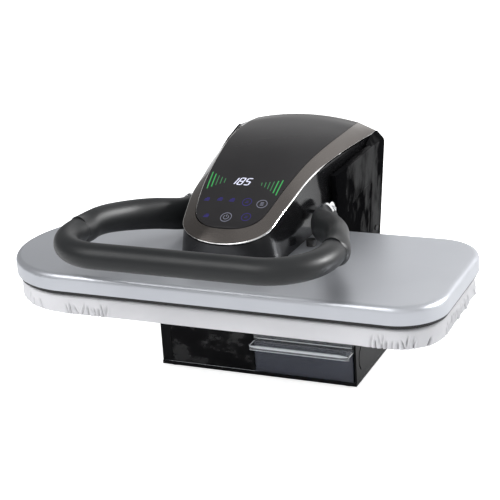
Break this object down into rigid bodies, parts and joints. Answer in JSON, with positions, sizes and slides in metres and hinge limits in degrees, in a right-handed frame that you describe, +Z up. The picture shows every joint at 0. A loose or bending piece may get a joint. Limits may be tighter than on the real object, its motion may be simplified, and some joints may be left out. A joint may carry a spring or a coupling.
{
  "type": "steam ironing press",
  "caption": "Tabletop steam ironing press with a padded board, a hinged heated plate under a loop handle and a pull-out water tank.",
  "frame": {"origin": "on the table, below the middle of the whole press with its head closed", "axes": "+Z up, +X along the board to the user's right, +Y to the back, where the hinge column stands"},
  "size_m": [0.64, 0.4901, 0.3273],
  "materials": {
    "cover_silver": "satin silver paint",
    "cloth": "off-white cotton",
    "foam": "felted pad",
    "black_gloss": "glossy black",
    "black_matte": "matt black",
    "bezel": "gunmetal lacquer",
    "panel": "dark glass-like panel",
    "grip": "matt grip",
    "rubber": "black rubber",
    "steel": "zinc-plated",
    "chrome": "bright chrome",
    "brass": "bronze bush",
    "cast_plate": "cast, coated",
    "tank_clear": "smoked clear",
    "lid_clear": "clear",
    "electric": "board green",
    "pump": "moulded"
  },
  "bodies": {
    "root": {"board_cover": "cloth", "board_pad": "foam", "base_housing": "black_gloss", "front_panel": "black_gloss", "column_left": "black_gloss", "column_right": "black_gloss", "column_back_cover": "black_gloss", "base_tray": "black_gloss", "column_front_cover": "black_matte", "tank_divider": "black_matte", "tank_rails": "black_matte", "power_inlet": "black_matte", "steam_union": "black_matte", "rubber_feet": "rubber", "board_plate": "steel", "board_supports": "steel", "base_frame": "steel", "hinge_bracket_left": "steel", "hinge_bracket_right": "steel", "cross_braces": "steel", "shaft_clips": "steel", "torsion_spring_left": "steel", "torsion_spring_right": "steel", "cheek_screws": "steel", "tray_screws": "steel", "hinge_shaft": "chrome", "power_board": "electric", "steam_pump": "pump"},
    "head": {"arm_frame": "steel", "hinge_bushes": "brass", "hood_band": "bezel", "control_panel": "panel", "head_skirt": "black_gloss", "control_board": "electric", "display_module": "electric", "board_standoffs": "electric", "plate_cover": "cover_silver", "plate_insulator": "black_matte", "soleplate": "cast_plate", "heating_element": "steel", "thermostats": "brass", "plate_carrier": "steel", "pressure_springs": "steel", "spring_bolts": "steel", "pressure_plunger": "steel", "handle_bumpers": "rubber"},
    "handle": {"handle_tube": "steel", "handle_grip": "grip", "handle_arm_left": "black_matte", "handle_arm_right": "black_matte", "lever_plate_left": "chrome", "lever_plate_right": "chrome", "arm_clamps": "chrome", "handle_shaft": "chrome", "shaft_nuts": "steel", "pressure_cam": "steel"},
    "tank": {"water_tank": "tank_clear", "tank_lid": "lid_clear", "fill_cap": "black_matte", "tank_valve": "black_matte"}
  },
  "joints": [
    {"name": "head_hinge", "type": "hinge", "parent": "root", "child": "head", "pos_m": [0, 0.204, 0.2935], "axis": [-1, 0, 0], "range_deg": [0, 45]},
    {"name": "handle_pivot", "type": "hinge", "parent": "head", "child": "handle", "pos_m": [0, 0.074, 0.234], "axis": [-1, 0, 0], "range_deg": [0, 30]},
    {"name": "tank_slide", "type": "slide", "parent": "root", "child": "tank", "axis": [0, -1, 0], "range_m": [0, 0.15]}
  ]
}
